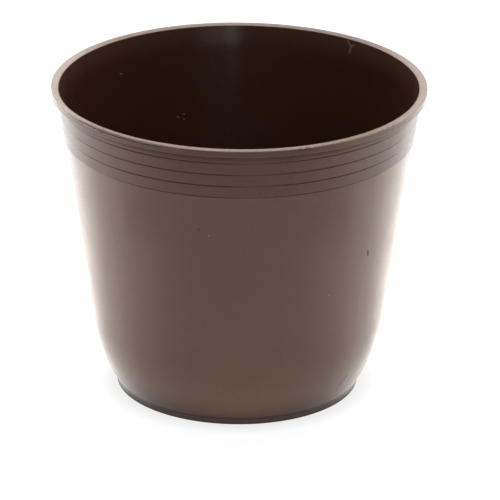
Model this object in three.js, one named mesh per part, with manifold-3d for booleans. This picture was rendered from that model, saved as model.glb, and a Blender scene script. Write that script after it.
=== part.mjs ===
import * as THREE from 'three';
import { mergeVertices } from 'three/addons/utils/BufferGeometryUtils.js';
import Module from 'manifold-3d';

// A round plant pot, moulded in one piece of brown plastic.
// Millimetres, +Z up. The pot's axis is Z, and it stands on z = 0.

// Overall height, and the flat lip round the mouth
const potHeight = 101.2;
const lipRadius = 60;
const lipTopWidth = 2.5;
const lipFaceHeight = 2.2;
const lipOverhang = 2.05;
const lipChamfer = 0.3;
const flareDepth = 4.2;

// Band of stepped rings under the lip, each one a little narrower than the one above it
const ringCount = 4;
const firstRingHeight = 2.8;
const ringPitch = 4;
const ringStep = 0.6;
const ringChamfer = 0.3;
const grooveDepth = 0.25;
const grooveHeight = 0.3;
const bandStep = 0.85;

// Body wall, and the rounded heel that turns in to the foot
const wallDraft = THREE.MathUtils.degToRad(7.5);
const wallThickness = 1.3;
const heelRadius = 54.3;
const heelInset = 4.95;

// Foot ring and floor
const footHeight = 1;
const footWidth = 2.2;
const floorLift = 2;
const floorThickness = 1.6;
const moldDraft = 0.4;

// Drain holes, and the mark that the moulding gate leaves under the floor
const drainHoleCount = 4;
const drainHoleRadius = 4.5;
const drainCircleRadius = 24;
const gateRadius = 1.6;
const gateHeight = 0.5;

// Fineness of the round shapes
const turnSegments = 72;
const heelSegments = 9;
const holeSegments = 24;

// Heights and radii that follow from the sizes above
const lipUnderside = potHeight - lipFaceHeight;
const bandBottom = lipUnderside - firstRingHeight - (ringCount - 1) * ringPitch;
const topRingRadius = lipRadius - lipOverhang;
const wallTopRadius = topRingRadius - (ringCount - 1) * ringStep - bandStep;
const floorTop = floorLift + floorThickness;

const wallRadiusAt = (z) => wallTopRadius - (bandBottom - z) * Math.tan(wallDraft);
const footRadius = wallRadiusAt(0) - heelInset;

const point = (r, z) => new THREE.Vector2(r, z);

// The heel is an arc that starts tangent to the wall and ends on the foot ring's upper edge.
function solveHeel() {
  const down = point(-Math.sin(wallDraft), -Math.cos(wallDraft));
  const outward = point(Math.cos(wallDraft), -Math.sin(wallDraft));
  const wallTop = point(wallTopRadius, bandBottom);
  const toFoot = point(footRadius, footHeight).sub(wallTop);
  const inset = -toFoot.dot(outward);
  const reach = Math.sqrt(heelRadius ** 2 - (heelRadius - inset) ** 2);
  const centre = wallTop
    .addScaledVector(down, toFoot.dot(down) - reach)
    .addScaledVector(outward, -heelRadius);
  return { centre, sweep: Math.atan2(reach, heelRadius - inset) };
}

const heel = solveHeel();

// Points of an arc about the heel's centre, counted from the wall's end of it.
function heelArc(radius, sweep) {
  return Array.from({ length: heelSegments + 1 }, (_, i) => {
    const angle = wallDraft + (sweep * i) / heelSegments;
    return point(heel.centre.x + radius * Math.cos(angle), heel.centre.y - radius * Math.sin(angle));
  });
}

function underside() {
  const footInner = footRadius - footWidth;
  return [
    point(0, floorLift - gateHeight),
    point(gateRadius, floorLift - gateHeight),
    point(gateRadius, floorLift),
    point(footInner - moldDraft, floorLift),
    point(footInner, 0),
    point(footRadius, 0),
  ];
}

function outerWall() {
  return [...heelArc(heelRadius, heel.sweep).reverse(), point(wallTopRadius, bandBottom)];
}

// One ring, counted from the top. A small groove parts it from the ring above, and the top one meets the lip.
function ring(index) {
  const radius = topRingRadius - index * ringStep;
  const bottom = lipUnderside - firstRingHeight - index * ringPitch;
  const lowerEdge = [point(radius - ringChamfer, bottom), point(radius, bottom + ringChamfer)];
  if (index === 0) return [...lowerEdge, point(radius, lipUnderside)];
  const top = bottom + ringPitch;
  return [...lowerEdge, point(radius, top - grooveHeight), point(radius - grooveDepth, top)];
}

function ringBand() {
  return Array.from({ length: ringCount }, (_, i) => ring(ringCount - 1 - i)).flat();
}

function lip() {
  return [
    point(lipRadius, lipUnderside),
    point(lipRadius, potHeight - lipChamfer),
    point(lipRadius - lipChamfer, potHeight),
    point(lipRadius - lipTopWidth + lipChamfer, potHeight),
    point(lipRadius - lipTopWidth, potHeight - lipChamfer),
  ];
}

// The inside follows the outer wall at the wall's thickness, and flares out under the lip.
function innerWall() {
  const flareEnd = potHeight - flareDepth;
  const innerRadius = heelRadius - wallThickness;
  const sweep = Math.asin((heel.centre.y - floorTop) / innerRadius) - wallDraft;
  return [
    point(wallRadiusAt(flareEnd) - wallThickness / Math.cos(wallDraft), flareEnd),
    ...heelArc(innerRadius, sweep),
    point(0, floorTop),
  ];
}

// Turns a closed outline of radius and height about the pot's axis.
function turned(outline) {
  return new THREE.LatheGeometry(outline, turnSegments).rotateX(Math.PI / 2);
}

const wasm = await Module();
wasm.setup();

// Triangles whose corners fall together, as they do on the axis, are left out.
function toSolid(geometry) {
  geometry.deleteAttribute('normal');
  geometry.deleteAttribute('uv');
  const merged = mergeVertices(geometry);
  const index = merged.index.array;
  const triangles = [];
  for (let i = 0; i < index.length; i += 3) {
    const [a, b, c] = index.slice(i, i + 3);
    if (a !== b && b !== c && c !== a) triangles.push(a, b, c);
  }
  return new wasm.Manifold(new wasm.Mesh({
    numProp: 3,
    vertProperties: merged.attributes.position.array,
    triVerts: Uint32Array.from(triangles),
  }));
}

function toGeometry(solid) {
  const mesh = solid.getMesh();
  const geometry = new THREE.BufferGeometry();
  geometry.setAttribute('position', new THREE.BufferAttribute(mesh.vertProperties, 3));
  geometry.setIndex(new THREE.BufferAttribute(mesh.triVerts, 1));
  geometry.computeVertexNormals();
  return geometry;
}

// Round holes through the floor, evenly spaced and turned half a step from the front.
function drainHoles() {
  return Array.from({ length: drainHoleCount }, (_, i) => {
    const angle = (2 * Math.PI * (i + 0.5)) / drainHoleCount;
    const hole = new THREE.CylinderGeometry(drainHoleRadius, drainHoleRadius, 3 * floorThickness, holeSegments);
    hole.rotateX(Math.PI / 2);
    hole.translate(
      drainCircleRadius * Math.cos(angle),
      drainCircleRadius * Math.sin(angle),
      floorLift + floorThickness / 2,
    );
    return toSolid(hole);
  });
}

function potGeometry() {
  const outline = [...underside(), ...outerWall(), ...ringBand(), ...lip(), ...innerWall()];
  const body = toSolid(turned(outline));
  return toGeometry(drainHoles().reduce((pot, hole) => pot.subtract(hole), body));
}

const brownPlastic = new THREE.MeshStandardMaterial({ color: 0x5a453e, roughness: 0.36, metalness: 0 });

const pot = new THREE.Mesh(potGeometry(), brownPlastic);
pot.name = 'pot';

const group = new THREE.Group();
group.add(pot);

export default group;
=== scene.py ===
import math

import bmesh
import bpy
import numpy as np
from mathutils import Matrix, Vector


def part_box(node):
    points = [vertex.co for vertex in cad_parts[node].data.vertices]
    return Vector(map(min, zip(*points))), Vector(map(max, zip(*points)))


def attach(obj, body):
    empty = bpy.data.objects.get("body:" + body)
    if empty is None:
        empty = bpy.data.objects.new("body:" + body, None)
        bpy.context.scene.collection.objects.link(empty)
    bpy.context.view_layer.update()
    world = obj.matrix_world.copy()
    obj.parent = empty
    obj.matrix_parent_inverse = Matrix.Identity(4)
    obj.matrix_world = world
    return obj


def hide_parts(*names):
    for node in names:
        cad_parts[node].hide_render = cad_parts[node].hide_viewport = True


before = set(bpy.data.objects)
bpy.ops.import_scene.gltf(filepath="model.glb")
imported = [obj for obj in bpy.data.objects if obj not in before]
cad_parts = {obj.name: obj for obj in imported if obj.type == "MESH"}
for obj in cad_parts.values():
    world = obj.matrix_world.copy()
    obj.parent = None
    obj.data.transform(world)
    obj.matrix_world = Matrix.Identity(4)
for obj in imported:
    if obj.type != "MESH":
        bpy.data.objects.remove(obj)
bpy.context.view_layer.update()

# Metres, in the CAD's frame: the pot stands on z = 0 round the Z axis, and the photo looks along +Y.
MM = 0.001

# Overall sizes, from the frame
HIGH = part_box("pot")[1]
HEIGHT = HIGH.z
LIP_RADIUS = HIGH.x

# Lip round the mouth: a flat top with a bevel along its inner edge. The inside flares out to it.
LIP_TOP_WIDTH = 2.6 * MM
LIP_FACE = 2.2 * MM
LIP_OVERHANG = 2.05 * MM
LIP_EDGE = 0.15 * MM
LIP_CUT = 0.12 * MM
BEVEL_WIDTH = 0.75 * MM
BEVEL_DROP = 0.2 * MM
BEVEL_START = 0.1 * MM
BEVEL_EDGE = 0.28 * MM
FLARE_DEPTH = 4.2 * MM
FLARE_BLEND = 24 * MM
FLARE_TAIL = 8 * MM

# Band of stepped rings. Under each lower edge, a shallow groove runs out to the next ring's top edge. Between
# the top ring and the lip, the neck is a shallow hollow.
RINGS = 4
FIRST_RING = 2.8 * MM
RING_PITCH = 4 * MM
RING_STEP = 0.6 * MM
GROOVE_DEPTH = 0.18 * MM
GROOVE_ABOVE = 0.3 * MM
GROOVE_BELOW = 0.35 * MM
SHARP_EDGE = 0.08 * MM
SOFT_EDGE = 0.5 * MM
BAND_STEP = 0.85 * MM
BAND_LEAD = 10 * MM
NECK_HEIGHT = 1.75 * MM
NECK_DEPTH = 0.3 * MM
NECK_EDGE = 7 * MM

# Body wall, heel, foot ring and floor
DRAFT = math.radians(7.5)
WALL = 1.3 * MM
HEEL_RADIUS = 54.3 * MM
HEEL_INSET = 4.95 * MM
FOOT_HEIGHT = 1.8 * MM
FOOT_WIDTH = 2.2 * MM
FOOT_EDGE = 0.12 * MM
FOOT_INNER_EDGE = 0.3 * MM
FLOOR_LIFT = 2 * MM
FLOOR_THICKNESS = 1.6 * MM
FLOOR_EDGE = 0.4 * MM
FLOOR_CORNER = 2.2 * MM
CORNER_RUN = 1.6
MOLD_DRAFT = 0.4 * MM

# Drain holes, each cut by a spool that reaches past the floor on both sides, and gate mark
DRAIN_HOLES = 4
DRAIN_RADIUS = 4.5 * MM
DRAIN_CIRCLE = 24 * MM
DRAIN_EDGE = 0.3 * MM
SPOOL_GAP = 0.02 * MM
SPOOL_REACH = 1 * MM
GATE_RADIUS = 1.6 * MM
GATE_HEIGHT = 0.5 * MM
GATE_EDGE = 0.15 * MM

# Heights and radii that follow
LIP_UNDER = HEIGHT - LIP_FACE
BAND_BOTTOM = LIP_UNDER - FIRST_RING - (RINGS - 1) * RING_PITCH
TOP_RING = LIP_RADIUS - LIP_OVERHANG
WALL_TOP = TOP_RING - (RINGS - 1) * RING_STEP - BAND_STEP
FLOOR_TOP = FLOOR_LIFT + FLOOR_THICKNESS

# Mesh fineness: the columns round the pot, their spacing in degrees at a nick, the rows in a fillet or an
# arc, and the longest step between two rows
COLUMNS = 240
FINE_STEP = 0.25
ANGLE_DIGITS = 4
TINY_FILLET = 0.2 * MM
TINY_STEPS = 3
FILLET_STEPS = 5
HEEL_STEPS = 24
INNER_HEEL_STEPS = 20
CORNER_STEPS = 8
DRAIN_SIDES = 48
LIP_ROWS = 0.3 * MM
WALL_ROWS = 4 * MM
NORMAL_WEIGHT = 50


def wall_radius(z):
    return WALL_TOP - (BAND_BOTTOM - z) * math.tan(DRAFT)


FOOT_RADIUS = wall_radius(0) - HEEL_INSET

# Camera, fitted to the rim's and the foot's ellipses in the photo. Metres and radians, but the sensor and the
# lens are in millimetres.
CAMERA_DISTANCE = 1.31773
CAMERA_HEIGHT = 0.58198
CAMERA_PITCH = 0.38749
CAMERA_YAW = 0.00294
CAMERA_ROLL = 0.00921
SENSOR = 36.0
LENS = 316.507
CLIP_START = 0.05
CLIP_END = 20


def add_object(name, data):
    thing = bpy.data.objects.new(name, data)
    bpy.context.scene.collection.objects.link(thing)
    return thing


def add_mesh(name, bm):
    mesh = bpy.data.meshes.new(name)
    bm.to_mesh(mesh)
    bm.free()
    return add_object(name, mesh)


def make_camera():
    data = bpy.data.cameras.new("camera")
    data.sensor_width = SENSOR
    data.lens = LENS
    data.clip_start = CLIP_START
    data.clip_end = CLIP_END
    cam = add_object("camera", data)
    aim = Matrix.Rotation(-CAMERA_YAW, 4, "Z") @ Matrix.Rotation(math.pi / 2 - CAMERA_PITCH, 4, "X")
    place = Matrix.Translation((0, -CAMERA_DISTANCE, CAMERA_HEIGHT))
    cam.matrix_world = place @ aim @ Matrix.Rotation(CAMERA_ROLL, 4, "Z")
    bpy.context.scene.camera = cam


# Outline of the pot, as points of radius and height
def rounded(corners):
    """Takes corners of (radius, height, fillet) and returns the outline with each fillet as an arc."""
    outline = []
    for i, (r, z, fillet) in enumerate(corners):
        steps = TINY_STEPS if fillet < TINY_FILLET else FILLET_STEPS
        here = Vector((r, z))
        if fillet <= 0 or i in (0, len(corners) - 1):
            outline.append(here)
            continue
        before = (Vector(corners[i - 1][:2]) - here).normalized()
        after = (Vector(corners[i + 1][:2]) - here).normalized()
        half = before.angle(after) / 2
        reach = fillet / math.tan(half)
        centre = here + (before + after).normalized() * (fillet / math.sin(half))
        start = here + before * reach - centre
        end = here + after * reach - centre
        turn = math.atan2(start.x * end.y - start.y * end.x, start.dot(end))
        outline += [centre + Matrix.Rotation(turn * k / steps, 2) @ start for k in range(steps + 1)]
    return outline


def filled(outline, longest):
    """The same outline with its long stretches split."""
    points = [outline[0]]
    for a, b in zip(outline, outline[1:]):
        parts = max(1, math.ceil((b - a).length / longest))
        points += [a.lerp(b, k / parts) for k in range(1, parts + 1)]
    return points


def solve_heel():
    down = Vector((-math.sin(DRAFT), -math.cos(DRAFT)))
    outward = Vector((math.cos(DRAFT), -math.sin(DRAFT)))
    wall_top = Vector((WALL_TOP, BAND_BOTTOM))
    to_foot = Vector((FOOT_RADIUS, FOOT_HEIGHT)) - wall_top
    inset = -to_foot.dot(outward)
    reach = math.sqrt(HEEL_RADIUS**2 - (HEEL_RADIUS - inset) ** 2)
    centre = wall_top + down * (to_foot.dot(down) - reach) - outward * HEEL_RADIUS
    return centre, math.atan2(reach, HEEL_RADIUS - inset)


HEEL_CENTRE, HEEL_SWEEP = solve_heel()


def heel_arc(radius, sweep, steps):
    """Points along the heel's arc, from the wall's end of it."""
    angles = [DRAFT + sweep * i / steps for i in range(steps + 1)]
    return [HEEL_CENTRE + radius * Vector((math.cos(a), -math.sin(a))) for a in angles]


def underside():
    foot_inner = FOOT_RADIUS - FOOT_WIDTH
    return rounded([
        (0, FLOOR_LIFT - GATE_HEIGHT, 0),
        (GATE_RADIUS, FLOOR_LIFT - GATE_HEIGHT, GATE_EDGE),
        (GATE_RADIUS, FLOOR_LIFT, GATE_EDGE),
        (foot_inner - MOLD_DRAFT, FLOOR_LIFT, FLOOR_EDGE),
        (foot_inner, 0, FOOT_INNER_EDGE),
        (FOOT_RADIUS, 0, FOOT_EDGE),
        (FOOT_RADIUS, FOOT_HEIGHT, 0),
    ])[:-1]


def outer_wall():
    return heel_arc(HEEL_RADIUS, HEEL_SWEEP, HEEL_STEPS)[::-1]


def step(radius, z, wider):
    """Corners of one step of the band, upwards from the surface below it to the wider one above."""
    return [
        (radius, z - GROOVE_BELOW, SOFT_EDGE),
        (radius - GROOVE_DEPTH, z + GROOVE_ABOVE, SHARP_EDGE),
        (wider, z + GROOVE_ABOVE, SHARP_EDGE),
    ]


def ring_band():
    below = BAND_BOTTOM - BAND_LEAD
    corners = [(wall_radius(below), below, 0)]
    radii = [WALL_TOP] + [TOP_RING - i * RING_STEP for i in reversed(range(RINGS))]
    for i, (radius, wider) in enumerate(zip(radii, radii[1:])):
        corners += step(radius, BAND_BOTTOM + i * RING_PITCH, wider)
    corners += [
        (TOP_RING, LIP_UNDER - NECK_HEIGHT, NECK_EDGE),
        (TOP_RING - NECK_DEPTH, LIP_UNDER, SHARP_EDGE),
        (LIP_RADIUS - LIP_CUT, LIP_UNDER, SHARP_EDGE),
        (LIP_RADIUS, LIP_UNDER + LIP_CUT, SHARP_EDGE),
        (LIP_RADIUS, HEIGHT, 0),
    ]
    return rounded(corners)[:-1]


def lip():
    inner = LIP_RADIUS - LIP_TOP_WIDTH
    flare_end = HEIGHT - FLARE_DEPTH
    inner_wall = wall_radius(flare_end) - WALL / math.cos(DRAFT)
    lower = flare_end - FLARE_TAIL
    corners = [
        (LIP_RADIUS, LIP_UNDER + LIP_CUT, 0),
        (LIP_RADIUS, HEIGHT, LIP_EDGE),
        (inner + BEVEL_WIDTH, HEIGHT, BEVEL_START),
        (inner, HEIGHT - BEVEL_DROP, BEVEL_EDGE),
        (inner_wall, flare_end, FLARE_BLEND),
        (wall_radius(lower) - WALL / math.cos(DRAFT), lower, 0),
    ]
    return rounded(corners)[1:]


def inside():
    radius = HEEL_RADIUS - WALL
    sweep = math.asin((HEEL_CENTRE.y - FLOOR_TOP - FLOOR_CORNER) / radius) - DRAFT
    arc = heel_arc(radius, sweep, INNER_HEEL_STEPS)
    start = arc[-1]
    end = Vector((start.x - CORNER_RUN * FLOOR_CORNER, FLOOR_TOP))
    slope = (arc[-1] - arc[-2]).normalized()
    corner = start + slope * ((FLOOR_TOP - start.y) / slope.y)
    shares = np.linspace(0, 1, CORNER_STEPS + 1)[1:]
    blend = [start.lerp(corner, t).lerp(corner.lerp(end, t), t) for t in shares]
    return arc + blend + [Vector((0, FLOOR_TOP))]


def pot_outline():
    lip_part = filled(ring_band()[-1:] + lip(), LIP_ROWS)
    low_part = underside() + outer_wall() + ring_band()
    return filled(low_part, WALL_ROWS)[:-1] + lip_part + filled(lip_part[-1:] + inside(), WALL_ROWS)[1:]


# Small flaws round the lip: azimuth in degrees from the front towards +X, radius, half width and depth
NICKS = (
    (18.6, 59.7 * MM, 0.9 * MM, 0.3 * MM),
    (20.8, 59.6 * MM, 1.1 * MM, 0.4 * MM),
    (-45.2, 59.7 * MM, 1.1 * MM, 0.3 * MM),
    (-48.5, 59.5 * MM, 0.6 * MM, 0.16 * MM),
    (-75.8, 59.3 * MM, 0.7 * MM, 0.25 * MM),
    (-72.1, 59.3 * MM, 0.6 * MM, 0.2 * MM),
    (52.0, 59.2 * MM, 0.5 * MM, 0.16 * MM),
    (65.0, 58.4 * MM, 0.6 * MM, 0.22 * MM),
    (-113.7, 59.9 * MM, 0.35 * MM, 0.15 * MM),
)
NICK_REACH = 0.55 * MM
NICK_INWARD = 0.5

# Two stretches where the lip is uneven: azimuth and spread in degrees, and how much is missing
NARROW_STRETCH = (-70, 20, 0.7 * MM)
ROUNDED_STRETCH = (-36, 18, 0.6 * MM)
ROUNDED_WIDTH = 1 * MM

# The moulding wavers a little. Each line has a depth, and a seed with the numbers of its waves round the pot.
TOP_WAVER = 0.025 * MM
TOP_WAVES = (11, (4, 7, 19, 43, 61))
EDGE_WAVER = 0.02 * MM
EDGE_WAVES = (12, (2, 3, 5, 8, 13))
WALL_WAVER = 0.04 * MM
WALL_WAVES = (13, (2, 3, 4))
TOP_ZONE = 0.45 * MM
EDGE_ZONE = 0.5 * MM
WALL_START = 8 * MM
ZONE_MARGIN = 0.1 * MM


def column_angles():
    """Azimuths of the mesh's columns, closer together at each nick."""
    angles = set(np.round(np.linspace(-180, 180, COLUMNS, endpoint=False), ANGLE_DIGITS))
    for azimuth, _, half_width, _ in NICKS:
        spread = math.degrees(2 * half_width / LIP_RADIUS) + FINE_STEP
        fine = np.arange(azimuth - spread, azimuth + spread, FINE_STEP)
        angles |= set(np.round(fine, ANGLE_DIGITS))
    kept = []
    for a in sorted(angles):
        if not kept or a - kept[-1] > FINE_STEP / 3:
            kept.append(a)
    return np.radians(kept)


def waver(angles, seed, waves):
    """A smooth line round the pot that wanders between about -1 and 1."""
    rng = np.random.default_rng(seed)
    line = sum(rng.uniform(0.4, 1) * np.sin(w * angles + rng.uniform(0, 2 * math.pi)) for w in waves)
    return line / len(waves)


def bell(distance, spread):
    return np.exp(-((distance / spread) ** 2))


def turn_from(angles, azimuth):
    """The angles counted from an azimuth in degrees, from minus to plus half a turn."""
    return (angles - math.radians(azimuth) + math.pi) % (2 * math.pi) - math.pi


def stretch(angles, azimuth, spread, amount):
    """The amount round an azimuth, that fades away to both sides."""
    return amount * bell(turn_from(angles, azimuth), math.radians(spread))


def pot_points(outline, angles):
    """The points of the turned shell, a row for each outline point, with the moulding's small flaws."""
    r = np.array([p.x for p in outline])[:, None] * np.ones(len(angles))
    z = np.array([p.y for p in outline])[:, None] * np.ones(len(angles))
    on_lip = (z > HEIGHT - TOP_ZONE) & (r > LIP_RADIUS - LIP_TOP_WIDTH - ZONE_MARGIN)
    z -= on_lip * TOP_WAVER * (1 + waver(angles, *TOP_WAVES))
    outer_edge = r > LIP_RADIUS - EDGE_ZONE
    r -= outer_edge * EDGE_WAVER * (1 + waver(angles, *EDGE_WAVES))
    inward = np.clip((LIP_RADIUS - r) / LIP_TOP_WIDTH, 0, 1) * ((r < TOP_RING - ZONE_MARGIN) | on_lip)
    up = np.clip((z - HEIGHT + FLARE_DEPTH) / FLARE_DEPTH, 0, 1)
    r += stretch(angles, *NARROW_STRETCH) * inward * up**2
    outward = np.clip((r - LIP_RADIUS + ROUNDED_WIDTH) / ROUNDED_WIDTH, 0, 1) * on_lip
    z -= stretch(angles, *ROUNDED_STRETCH) * outward
    for azimuth, radius, half_width, depth in NICKS:
        along = turn_from(angles, azimuth) * LIP_RADIUS
        across = np.hypot(r - radius, z - HEIGHT)
        amount = depth * bell(along, half_width) * bell(across, NICK_REACH)
        z -= amount
        r -= NICK_INWARD * amount
    on_wall = (z < BAND_BOTTOM) & (z > WALL_START)
    rise = (z - WALL_START) / (BAND_BOTTOM - WALL_START)
    r += on_wall * WALL_WAVER * waver(angles, *WALL_WAVES) * np.sin(math.pi * rise)
    return np.stack([r * np.sin(angles), -r * np.cos(angles), z], -1)


def pot_shell():
    points = pot_points(pot_outline(), column_angles())
    columns = points.shape[1]
    bm = bmesh.new()
    first = bm.verts.new(points[0, 0])
    last = bm.verts.new(points[-1, 0])
    grid = [[bm.verts.new(point) for point in row] for row in points[1:-1]]
    for j in range(columns):
        k = (j + 1) % columns
        bm.faces.new((first, grid[0][k], grid[0][j]))
        bm.faces.new((last, grid[-1][j], grid[-1][k]))
        for low, high in zip(grid, grid[1:]):
            bm.faces.new((low[j], low[k], high[k], high[j]))
    bm.normal_update()
    return add_mesh("pot_shell", bm)


def drain_cutter(index):
    """A spool that cuts one drain hole and rounds its two edges."""
    edge = DRAIN_RADIUS + DRAIN_EDGE
    flange = DRAIN_RADIUS + 3 * DRAIN_EDGE
    profile = rounded([
        (flange, FLOOR_LIFT - SPOOL_REACH, 0),
        (edge, FLOOR_LIFT - SPOOL_GAP, 0),
        (DRAIN_RADIUS, FLOOR_LIFT, DRAIN_EDGE),
        (DRAIN_RADIUS, FLOOR_TOP, DRAIN_EDGE),
        (edge, FLOOR_TOP + SPOOL_GAP, 0),
        (flange, FLOOR_TOP + SPOOL_REACH, 0),
    ])
    azimuth = 2 * math.pi * (index + 0.5) / DRAIN_HOLES
    middle = Vector((DRAIN_CIRCLE * math.cos(azimuth), DRAIN_CIRCLE * math.sin(azimuth), 0))
    turn = [2 * math.pi * k / DRAIN_SIDES for k in range(DRAIN_SIDES)]
    bm = bmesh.new()
    loops = []
    for p in profile:
        places = [middle + Vector((p.x * math.cos(a), p.x * math.sin(a), p.y)) for a in turn]
        loops.append([bm.verts.new(place) for place in places])
    for low, high in zip(loops, loops[1:]):
        for k in range(DRAIN_SIDES):
            n = (k + 1) % DRAIN_SIDES
            bm.faces.new((low[k], low[n], high[n], high[k]))
    bm.faces.new(loops[0][::-1])
    bm.faces.new(loops[-1])
    return add_mesh(f"drain_cutter_{index}", bm)


def cut_drain_holes(shell):
    cutters = [drain_cutter(i) for i in range(DRAIN_HOLES)]
    for cutter in cutters:
        cut = shell.modifiers.new(cutter.name, "BOOLEAN")
        cut.operation = "DIFFERENCE"
        cut.solver = "EXACT"
        cut.object = cutter
    evaluated = shell.evaluated_get(bpy.context.evaluated_depsgraph_get())
    cut_mesh = bpy.data.meshes.new_from_object(evaluated)
    shell.modifiers.clear()
    shell.data = cut_mesh
    for cutter in cutters:
        bpy.data.objects.remove(cutter)


def smooth(shell):
    shell.data.shade_smooth()
    weighted = shell.modifiers.new("weighted_normals", "WEIGHTED_NORMAL")
    weighted.mode = "FACE_AREA"
    weighted.weight = NORMAL_WEIGHT


class Tree:
    """Adds shader nodes to the tree of a material, the world or a lamp."""

    def __init__(self, owner):
        owner.use_nodes = True
        self.tree = owner.node_tree
        self.tree.nodes.clear()

    def add(self, kind, inputs=None, **settings):
        node = self.tree.nodes.new("ShaderNode" + kind)
        for name, value in settings.items():
            setattr(node, name, value)
        for name, value in (inputs or {}).items():
            self.feed(node.inputs[name], value)
        return node

    def feed(self, socket, value):
        if isinstance(value, bpy.types.NodeSocket):
            self.tree.links.new(value, socket)
        else:
            socket.default_value = value

    def math(self, operation, a, b=0.0, clamp=False):
        return self.add("Math", {0: a, 1: b}, operation=operation, use_clamp=clamp).outputs[0]

    def times(self, a, b):
        return self.math("MULTIPLY", a, b)

    def one_less(self, a):
        return self.math("SUBTRACT", 1.0, a)

    def reduced(self, value, where, share):
        """The value, less a share of it where the second one is 1."""
        return self.times(value, self.one_less(self.times(where, share)))

    def vector(self, operation, a, b=(0, 0, 0)):
        return self.add("VectorMath", {0: a, 1: b}, operation=operation)

    def measure(self, operation, a, b=(0, 0, 0)):
        return self.vector(operation, a, b).outputs["Value"]

    def ramp(self, value, low, high, to_low=0.0, to_high=1.0):
        """Smoothly from to_low at low to to_high at high."""
        node = self.add("MapRange", {"Value": value, "From Min": low, "From Max": high,
                                     "To Min": to_low, "To Max": to_high}, interpolation_type="SMOOTHSTEP")
        return node.outputs["Result"]

    def mix_colour(self, factor, a, b):
        node = self.add("Mix", data_type="RGBA")
        self.feed(node.inputs["Factor"], factor)
        self.feed(node.inputs[6], a)
        self.feed(node.inputs[7], b)
        return node.outputs[2]

    def noise(self, where, scale, detail=2.0, roughness=0.5):
        return self.add("TexNoise", {"Vector": where, "Scale": scale, "Detail": detail,
                                     "Roughness": roughness}).outputs["Fac"]

    def from_axis(self, place):
        """The vector from the pot's axis, its length, and how far it points back, from -1 to 1."""
        flat = self.add("CombineXYZ", {0: place[0], 1: place[1]}).outputs[0]
        radius = self.measure("LENGTH", flat)
        return flat, radius, self.math("DIVIDE", place[1], radius)

    def put_out(self, shader, kind):
        output = self.add(kind)
        self.tree.links.new(shader.outputs[0], output.inputs["Surface"])


# Plain plastic. Its brown wanders between two shades, in broad patches and in fine ones.
BROWN = (0.119, 0.0495, 0.029, 1)
BROWN_DARK = (0.107, 0.0445, 0.026, 1)
BROAD_SCALE = 45
FINE_SCALE = 700
SHADE_RANGE = (0.75, 1.25)
NOISE_RANGE = (0.3, 0.7)
ROUGHNESS = (0.21, 0.27)
ROUGHNESS_SCALE = 120
GRAIN_SCALE = 1600
GRAIN_STRENGTH = 0.25
GRAIN_DEPTH = 0.02 * MM
IOR = 1.5

# How much the plastic mirrors, as the shader's specular level: less inside, and less on the heel and none on
# the foot ring, a painted shade, as if the floor that they mirror lay in the pot's shadow. The inside is
# brushed round the axis, which draws the mirrored light out upwards and downwards.
MIRRORING = 0.5
HEEL_SHADED_MIRRORING = 0.25
HEEL_TOP = 12 * MM
FOOT_PAINTED_SHADE_RANGE = (FOOT_HEIGHT - 0.3 * MM, FOOT_HEIGHT + 0.2 * MM)
INSIDE_DULLNESS = 0.25
INSIDE_BRUSHING = 0.85
BRUSHING_TURN = 0.25
FACING_RANGE = (-1 * MM, 1 * MM)

# Dirt and scrapes. Each is a line between two points of azimuth in degrees and height, with its half width.
UNROLL_RADIUS = 50 * MM
LINE_CORE = 0.4
LINE_REACH = 1.4
DIRT = (0.03, 0.012, 0.008, 1)
DIRT_COVER = 0.4
DIRT_DULLNESS = 0.9
SCRAPED = (0.42, 0.33, 0.27, 1)
SPECK_COVER = 0.6
SCRAPE_COVER = 0.7
OUTER_MARKS = (
    ((52.5, 56.9 * MM), (52.9, 55.6 * MM), 0.42 * MM),
    ((53.0, 12.2 * MM), (48.8, 8.8 * MM), 0.24 * MM),
    ((27.6, 43.4 * MM), (27.5, 43.2 * MM), 0.2 * MM),
    ((-13.1, 72.5 * MM), (-13.3, 71.8 * MM), 0.2 * MM),
)
OUTER_SPECKS = (
    ((34.9, 45.9 * MM), (34.8, 45.9 * MM), 0.22 * MM),
    ((-9.7, 70.6 * MM), (-9.8, 70.2 * MM), 0.16 * MM),
)
INNER_SCRAPES = (
    ((139.7, 99.0 * MM), (139.9, 96.9 * MM), 0.22 * MM),
    ((139.7, 99.0 * MM), (141.6, 100.4 * MM), 0.2 * MM),
    ((139.7, 99.0 * MM), (138.7, 99.7 * MM), 0.2 * MM),
    ((-157.4, 71.7 * MM), (-157.0, 72.1 * MM), 0.3 * MM),
    ((-159.8, 72.6 * MM), (-159.4, 72.7 * MM), 0.26 * MM),
    ((-159.7, 70.9 * MM), (-159.4, 71.0 * MM), 0.26 * MM),
    ((-135.3, 90.2 * MM), (-134.5, 90.6 * MM), 0.24 * MM),
)

# Pale wear on the lip's top, in front, at the back and at the sides, with a painted highlight in it: stronger
# and paler at the sides and the back, and stronger on the left than the right, where the lip catches more
# light. The direction from the pot's axis tells the place: sideways from 0 to 1, and backward from -1 in
# front to 1 behind.
WORN_AND_HIGHLIT = (0.82, 0.66, 0.55, 1)
WORN_AND_HIGHLIT_FRONT = (0.78, 0.54, 0.37, 1)
WORN_ROUGHNESS = 0.1
FRONT_WEAR_AND_HIGHLIGHT = 0.56
BACK_WEAR_AND_HIGHLIGHT = 0.5
SIDE_WEAR_AND_HIGHLIGHT = 1.05
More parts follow.
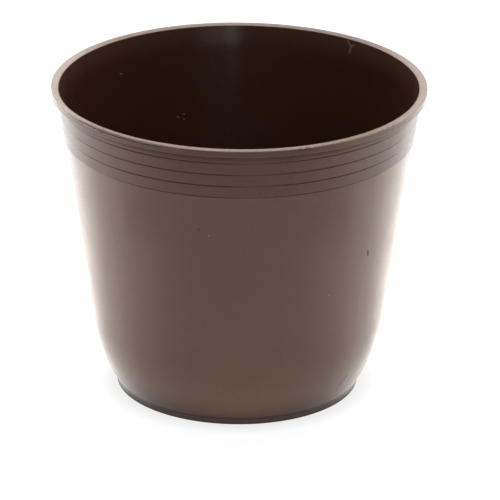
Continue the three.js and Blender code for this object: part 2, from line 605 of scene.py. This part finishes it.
# Painted highlight: the left of the lip is painted paler than the right.
LEFT_WEAR_AND_HIGHLIGHT = 1.11
RIGHT_WEAR_AND_HIGHLIGHT = 0.86
BACK_HIGHLIGHT_PALENESS = 0.6
WEAR_SIDEWAYS = (0.65, 1.0)
WEAR_BACKWARD = (-0.4, 0.5)
PALER_BACKWARD = (-0.2, 0.6)
WEAR_HEIGHTS = (HEIGHT - 0.4 * MM, HEIGHT - 0.1 * MM)
WEAR_RADII = (LIP_RADIUS - LIP_TOP_WIDTH - 0.3 * MM, LIP_RADIUS - LIP_TOP_WIDTH)
WEAR_SCALE = 900
WEAR_RANGE = (0.72, 1.0)
UNWORN_RADII = (LIP_RADIUS - 0.9 * MM, LIP_RADIUS - 0.5 * MM)
UNWORN_SHARE = 0.9
UNWORN_SPREAD = (0.6, 1.6)


def unrolled(azimuth, height):
    return Vector((math.radians(azimuth) * UNROLL_RADIUS, height, 0))


def marks(t, sheet, lines):
    """How much of the surface the lines cover, added up. The sheet is the surface, unrolled."""
    total = 0.0
    for start, end, half_width in lines:
        a = unrolled(*start)
        way = unrolled(*end) - a
        from_a = t.vector("SUBTRACT", sheet, a).outputs[0]
        along = t.measure("DOT_PRODUCT", from_a, way / way.length_squared)
        along = t.math("MAXIMUM", t.math("MINIMUM", along, 1.0), 0.0)
        nearest = t.add("VectorMath", {0: way, "Scale": along}, operation="SCALE").outputs[0]
        distance = t.measure("DISTANCE", from_a, nearest)
        cover = t.ramp(distance, LINE_CORE * half_width, LINE_REACH * half_width, 1.0, 0.0)
        total = t.math("ADD", total, cover)
    return t.math("MINIMUM", total, 1.0)


def lip_wear_and_highlight(t, where, place, radius, backward, azimuth):
    """How worn the lip's top is, with its painted highlight, and in which colour. The rounded stretch isn't
    worn along its outer edge.
    """
    high = t.ramp(place[2], *WEAR_HEIGHTS)
    out = t.ramp(radius, *WEAR_RADII)
    patches = t.ramp(t.noise(where, WEAR_SCALE, 4, 0.6), *NOISE_RANGE, *WEAR_RANGE)
    sideways = t.math("DIVIDE", t.math("ABSOLUTE", place[0]), radius)
    # Painted highlight: the wear is stronger at the sides, and stronger on the left than the right.
    along_middle = t.ramp(backward, *WEAR_BACKWARD, FRONT_WEAR_AND_HIGHLIGHT, BACK_WEAR_AND_HIGHLIGHT)
    amount = t.ramp(sideways, *WEAR_SIDEWAYS, along_middle, SIDE_WEAR_AND_HIGHLIGHT)
    amount = t.times(amount, t.ramp(place[0], -LIP_RADIUS, LIP_RADIUS, LEFT_WEAR_AND_HIGHLIGHT, RIGHT_WEAR_AND_HIGHLIGHT))
    middle, spread, _ = ROUNDED_STRETCH
    away = t.math("ABSOLUTE", t.math("SUBTRACT", azimuth, math.radians(middle)))
    near, far = [math.radians(share * spread) for share in UNWORN_SPREAD]
    unworn = t.times(t.ramp(away, near, far, 1.0, 0.0), t.ramp(radius, *UNWORN_RADII, 0.0, UNWORN_SHARE))
    amount = t.times(amount, t.one_less(unworn))
    worn_and_highlit = t.times(t.times(high, out), t.times(patches, amount))
    # Painted highlight: paler at the sides and at the back.
    paler_by_highlight = t.math("MAXIMUM", t.ramp(sideways, *WEAR_SIDEWAYS),
                   t.ramp(backward, *PALER_BACKWARD, 0.0, BACK_HIGHLIGHT_PALENESS))
    return worn_and_highlit, t.mix_colour(paler_by_highlight, WORN_AND_HIGHLIT_FRONT, WORN_AND_HIGHLIT)


def brown_plastic():
    material = bpy.data.materials.new("brown_plastic")
    t = Tree(material)
    where = t.add("TexCoord").outputs["Object"]
    place = t.add("SeparateXYZ", {0: where}).outputs
    flat, radius, backward = t.from_axis(place)
    normal = t.add("NewGeometry").outputs["Normal"]
    outside = t.ramp(t.measure("DOT_PRODUCT", flat, normal), *FACING_RANGE)
    inner = t.one_less(outside)
    azimuth = t.math("ARCTAN2", place[0], t.times(place[1], -1.0))
    sheet = t.add("CombineXYZ", {0: t.times(azimuth, UNROLL_RADIUS), 1: place[2]}).outputs[0]

    mottle = t.math("ADD", t.noise(where, BROAD_SCALE, 3), t.noise(where, FINE_SCALE, 2))
    colour = t.mix_colour(t.ramp(mottle, *SHADE_RANGE), BROWN_DARK, BROWN)
    dirt = t.times(marks(t, sheet, OUTER_MARKS), outside)
    colour = t.mix_colour(t.times(dirt, DIRT_COVER), colour, DIRT)
    specks = t.times(marks(t, sheet, OUTER_SPECKS), outside)
    scrapes = t.times(marks(t, sheet, INNER_SCRAPES), inner)
    scraped = t.math("ADD", t.times(specks, SPECK_COVER), t.times(scrapes, SCRAPE_COVER))
    colour = t.mix_colour(scraped, colour, SCRAPED)
    # Pale lip: wear, with a painted highlight.
    worn_and_highlit, worn_and_highlight_colour = lip_wear_and_highlight(t, where, place, radius, backward, azimuth)
    colour = t.mix_colour(worn_and_highlit, colour, worn_and_highlight_colour)

    uneven = t.ramp(t.noise(where, ROUGHNESS_SCALE, 3), *NOISE_RANGE, *ROUGHNESS)
    # Painted shade: the heel mirrors less near the floor, and the foot ring not at all.
    heel_shade = t.ramp(place[2], FOOT_HEIGHT, HEEL_TOP, HEEL_SHADED_MIRRORING, MIRRORING)
    foot_shade = t.ramp(place[2], *FOOT_PAINTED_SHADE_RANGE, MIRRORING, 0.0)
    mirroring = t.reduced(t.math("MAXIMUM", heel_shade, foot_shade), inner, INSIDE_DULLNESS)
    grain = t.noise(where, GRAIN_SCALE, 3, 0.6)
    bump = t.add("Bump", {"Height": grain, "Strength": GRAIN_STRENGTH, "Distance": GRAIN_DEPTH})
    shader = t.add("BsdfPrincipled", {
        "Base Color": colour,
        "Roughness": t.math("ADD", uneven, t.times(worn_and_highlit, WORN_ROUGHNESS)),
        "IOR": IOR,
        "Specular IOR Level": t.reduced(mirroring, dirt, DIRT_DULLNESS),
        "Anisotropic": t.times(inner, INSIDE_BRUSHING),
        "Anisotropic Rotation": BRUSHING_TURN,
        "Normal": bump.outputs[0],
    })
    t.put_out(shader, "OutputMaterial")
    return material


# Floor. Its own white is seen by the camera and mirrored by the pot. What is mirrored fades to the front, a
# painted shade, and the glow is darker near the foot, a painted shadow over the real faint one.
FLOOR_SIZE = 20.0
FLOOR_DROP = 0.01 * MM
FLOOR_WHITE = (0.85, 0.85, 0.85, 1)
FLOOR_SHOWN = (0.3, 0.3, 0.3, 1)
SHADE_LEFT = 0.93
# Painted shade in front, and a painted shadow near the foot.
FRONT_PAINTED_SHADE = 0.3
FRONT_RANGE = (-0.5, -0.06)
FOOT_PAINTED_SHADOW = 0.87
FOOT_PAINTED_SHADOW_WIDTH = 9 * MM

# World: a little light from all round, two windows in front, and two soft boxes. Each window has its place to
# the side, half its width and its strength. Each box has a tilt from straight up to the back, a strength, and
# the cosines of the angles at which it starts and is full. The windows end where the direction turns away
# from the front, and the boxes fade towards the horizon.
AMBIENT = 0.09
WINDOWS = (
    (0.09, 0.14, 1.25),
    (0.3, 0.22, 0.55),
)
WINDOW_FRONT = (-0.9, -0.6)
SOFT_BOXES = (
    (math.radians(16), 1.0, 0.7, 0.97),
    (math.radians(50), 1.4, 0.6, 0.95),
)
BOX_RISE = (0.0, 0.6)

# Lamps that lie flat on the floor. The wide one is brightest at the pot's back corners and dark in front of
# it, and the small one in front fills the shade near the foot. The wide one's strengths hold beside the pot,
# at its back corners, straight behind it, near it, and to its left and right.
LAMP_LIFT = 1 * MM
TABLE_SIZE = 1.2
TABLE_SIDE = 1.0
TABLE_CORNER = 1.7
TABLE_BEHIND = 0.6
TABLE_NEAR = 0.92
TABLE_LEFT = 1.05
TABLE_RIGHT = 0.92
FILL_MIDDLE = -0.088
FILL_WIDTH = 0.32
FILL_LENGTH = 0.09
FILL_LIGHT = 0.78
WARM = (1.0, 0.925, 0.815, 1)
WHITE = (1, 1, 1, 1)

# Where the wide lamp changes: the direction from the pot's axis, from -1 in front to 1 behind, and the radius
FRONT_BACKWARD = (-0.9, 0.0)
CORNER_BACKWARD = (0.0, 0.45)
BEHIND_BACKWARD = (0.6, 1.0)
WHITE_BACKWARD = (0.2, 0.7)
FOOT_RADII = (0.026, 0.048)
NEAR_RADII = (0.06, 0.12)
WHITE_RADII = (0.1, 0.3)
LEFT_TO_RIGHT = (-0.06, 0.06)


def floor_material():
    """White paper, with the pot's faint shadow, partly real and partly painted into its glow near the foot.
    """
    material = bpy.data.materials.new("floor_white")
    t = Tree(material)
    rays = t.add("LightPath").outputs
    mirrored = t.math("ADD", rays["Is Glossy Ray"], rays["Is Transmission Ray"])
    shown = t.math("ADD", rays["Is Camera Ray"], mirrored, clamp=True)
    where = t.add("NewGeometry").outputs["Position"]
    forward = t.add("SeparateXYZ", {0: where}).outputs[1]
    radius = t.measure("LENGTH", where)
    # Painted shade: what the pot mirrors of the floor is darker in front.
    painted_front_shade = t.ramp(rays["Is Camera Ray"], 0.0, 1.0, FRONT_PAINTED_SHADE, SHADE_LEFT)
    light = t.ramp(forward, *FRONT_RANGE, painted_front_shade, SHADE_LEFT)
    # Painted shadow: the glow is darker near the foot.
    light = t.times(light, t.ramp(radius, FOOT_RADIUS, FOOT_RADIUS + FOOT_PAINTED_SHADOW_WIDTH, FOOT_PAINTED_SHADOW, 1.0))
    paper = t.add("BsdfDiffuse", {"Color": t.mix_colour(shown, FLOOR_WHITE, FLOOR_SHOWN)})
    glow = t.add("Emission", {"Strength": t.times(shown, light)})
    t.put_out(t.add("AddShader", {0: paper.outputs[0], 1: glow.outputs[0]}), "OutputMaterial")
    return material


def make_floor():
    mesh = bpy.data.meshes.new("floor")
    half = FLOOR_SIZE / 2
    corners = [(-half, -half, 0), (half, -half, 0), (half, half, 0), (-half, half, 0)]
    mesh.from_pydata(corners, [], [(0, 1, 2, 3)])
    mesh.materials.append(floor_material())
    floor = add_object("floor", mesh)
    floor.location.z = -FLOOR_DROP


def make_world():
    """Two wide soft boxes, overhead and high up at the back, and the windows that show inside the pot."""
    world = bpy.data.worlds.new("studio")
    bpy.context.scene.world = world
    t = Tree(world)
    way = t.add("TexCoord").outputs["Generated"]
    parts = t.add("SeparateXYZ", {0: way}).outputs
    boxes = 0.0
    for tilt, strength, starts, full in SOFT_BOXES:
        towards = (0, math.sin(tilt), math.cos(tilt))
        aligned = t.measure("DOT_PRODUCT", way, towards)
        boxes = t.math("ADD", boxes, t.ramp(aligned, starts, full, 0.0, strength))
    boxes = t.times(boxes, t.ramp(parts[2], *BOX_RISE))
    windows = 0.0
    for side, half_width, strength in WINDOWS:
        sideways = t.math("ABSOLUTE", t.math("SUBTRACT", parts[0], side))
        windows = t.math("ADD", windows, t.ramp(sideways, 0.0, half_width, strength, 0.0))
    windows = t.times(windows, t.ramp(parts[1], *WINDOW_FRONT, 1.0, 0.0))
    light = t.math("ADD", boxes, t.math("ADD", windows, AMBIENT))
    t.put_out(t.add("Background", {"Color": WHITE, "Strength": light}), "OutputWorld")


def flat_lamp(name, middle, width, length, light):
    """A lamp on the floor that shines upwards. The light is how bright the lamp itself looks."""
    data = bpy.data.lights.new(name, "AREA")
    data.shape = "RECTANGLE"
    data.size = width
    data.size_y = length
    data.energy = light * math.pi * width * length
    lamp = add_object(name, data)
    lamp.location = (0, middle, LAMP_LIFT)
    lamp.rotation_euler = (math.pi, 0, 0)
    lamp.visible_camera = False
    return lamp


def table_lamp():
    """The wall mirrors this lamp, so it has no edges: its light fades away to the front and near the foot."""
    lamp = flat_lamp("table_lamp", 0, TABLE_SIZE, TABLE_SIZE, 1.0)
    t = Tree(lamp.data)
    place = t.add("SeparateXYZ", {0: t.add("NewGeometry").outputs["Position"]}).outputs
    _, radius, backward = t.from_axis(place)
    light = t.math("SUBTRACT", t.ramp(backward, *CORNER_BACKWARD, TABLE_SIDE, TABLE_CORNER),
                   t.ramp(backward, *BEHIND_BACKWARD, 0.0, TABLE_CORNER - TABLE_BEHIND))
    light = t.times(light, t.ramp(radius, *NEAR_RADII, TABLE_NEAR, 1.0))
    light = t.times(light, t.ramp(place[0], *LEFT_TO_RIGHT, TABLE_LEFT, TABLE_RIGHT))
    lit = t.times(t.ramp(backward, *FRONT_BACKWARD), t.ramp(radius, *FOOT_RADII))
    whiter = t.times(t.ramp(radius, *WHITE_RADII), t.ramp(backward, *WHITE_BACKWARD))
    colour = t.mix_colour(whiter, WARM, WHITE)
    t.put_out(t.add("Emission", {"Color": colour, "Strength": t.times(light, lit)}), "OutputLight")


def fill_lamp():
    lamp = flat_lamp("fill_lamp", FILL_MIDDLE, FILL_WIDTH, FILL_LENGTH, FILL_LIGHT)
    lamp.data.color = WARM[:3]
    lamp.visible_glossy = False


make_camera()
pot = pot_shell()
cut_drain_holes(pot)
smooth(pot)
pot.data.materials.append(brown_plastic())
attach(pot, "root")
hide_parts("pot")

make_floor()
make_world()
table_lamp()
fill_lamp()
bpy.context.scene.view_settings.view_transform = "Standard"
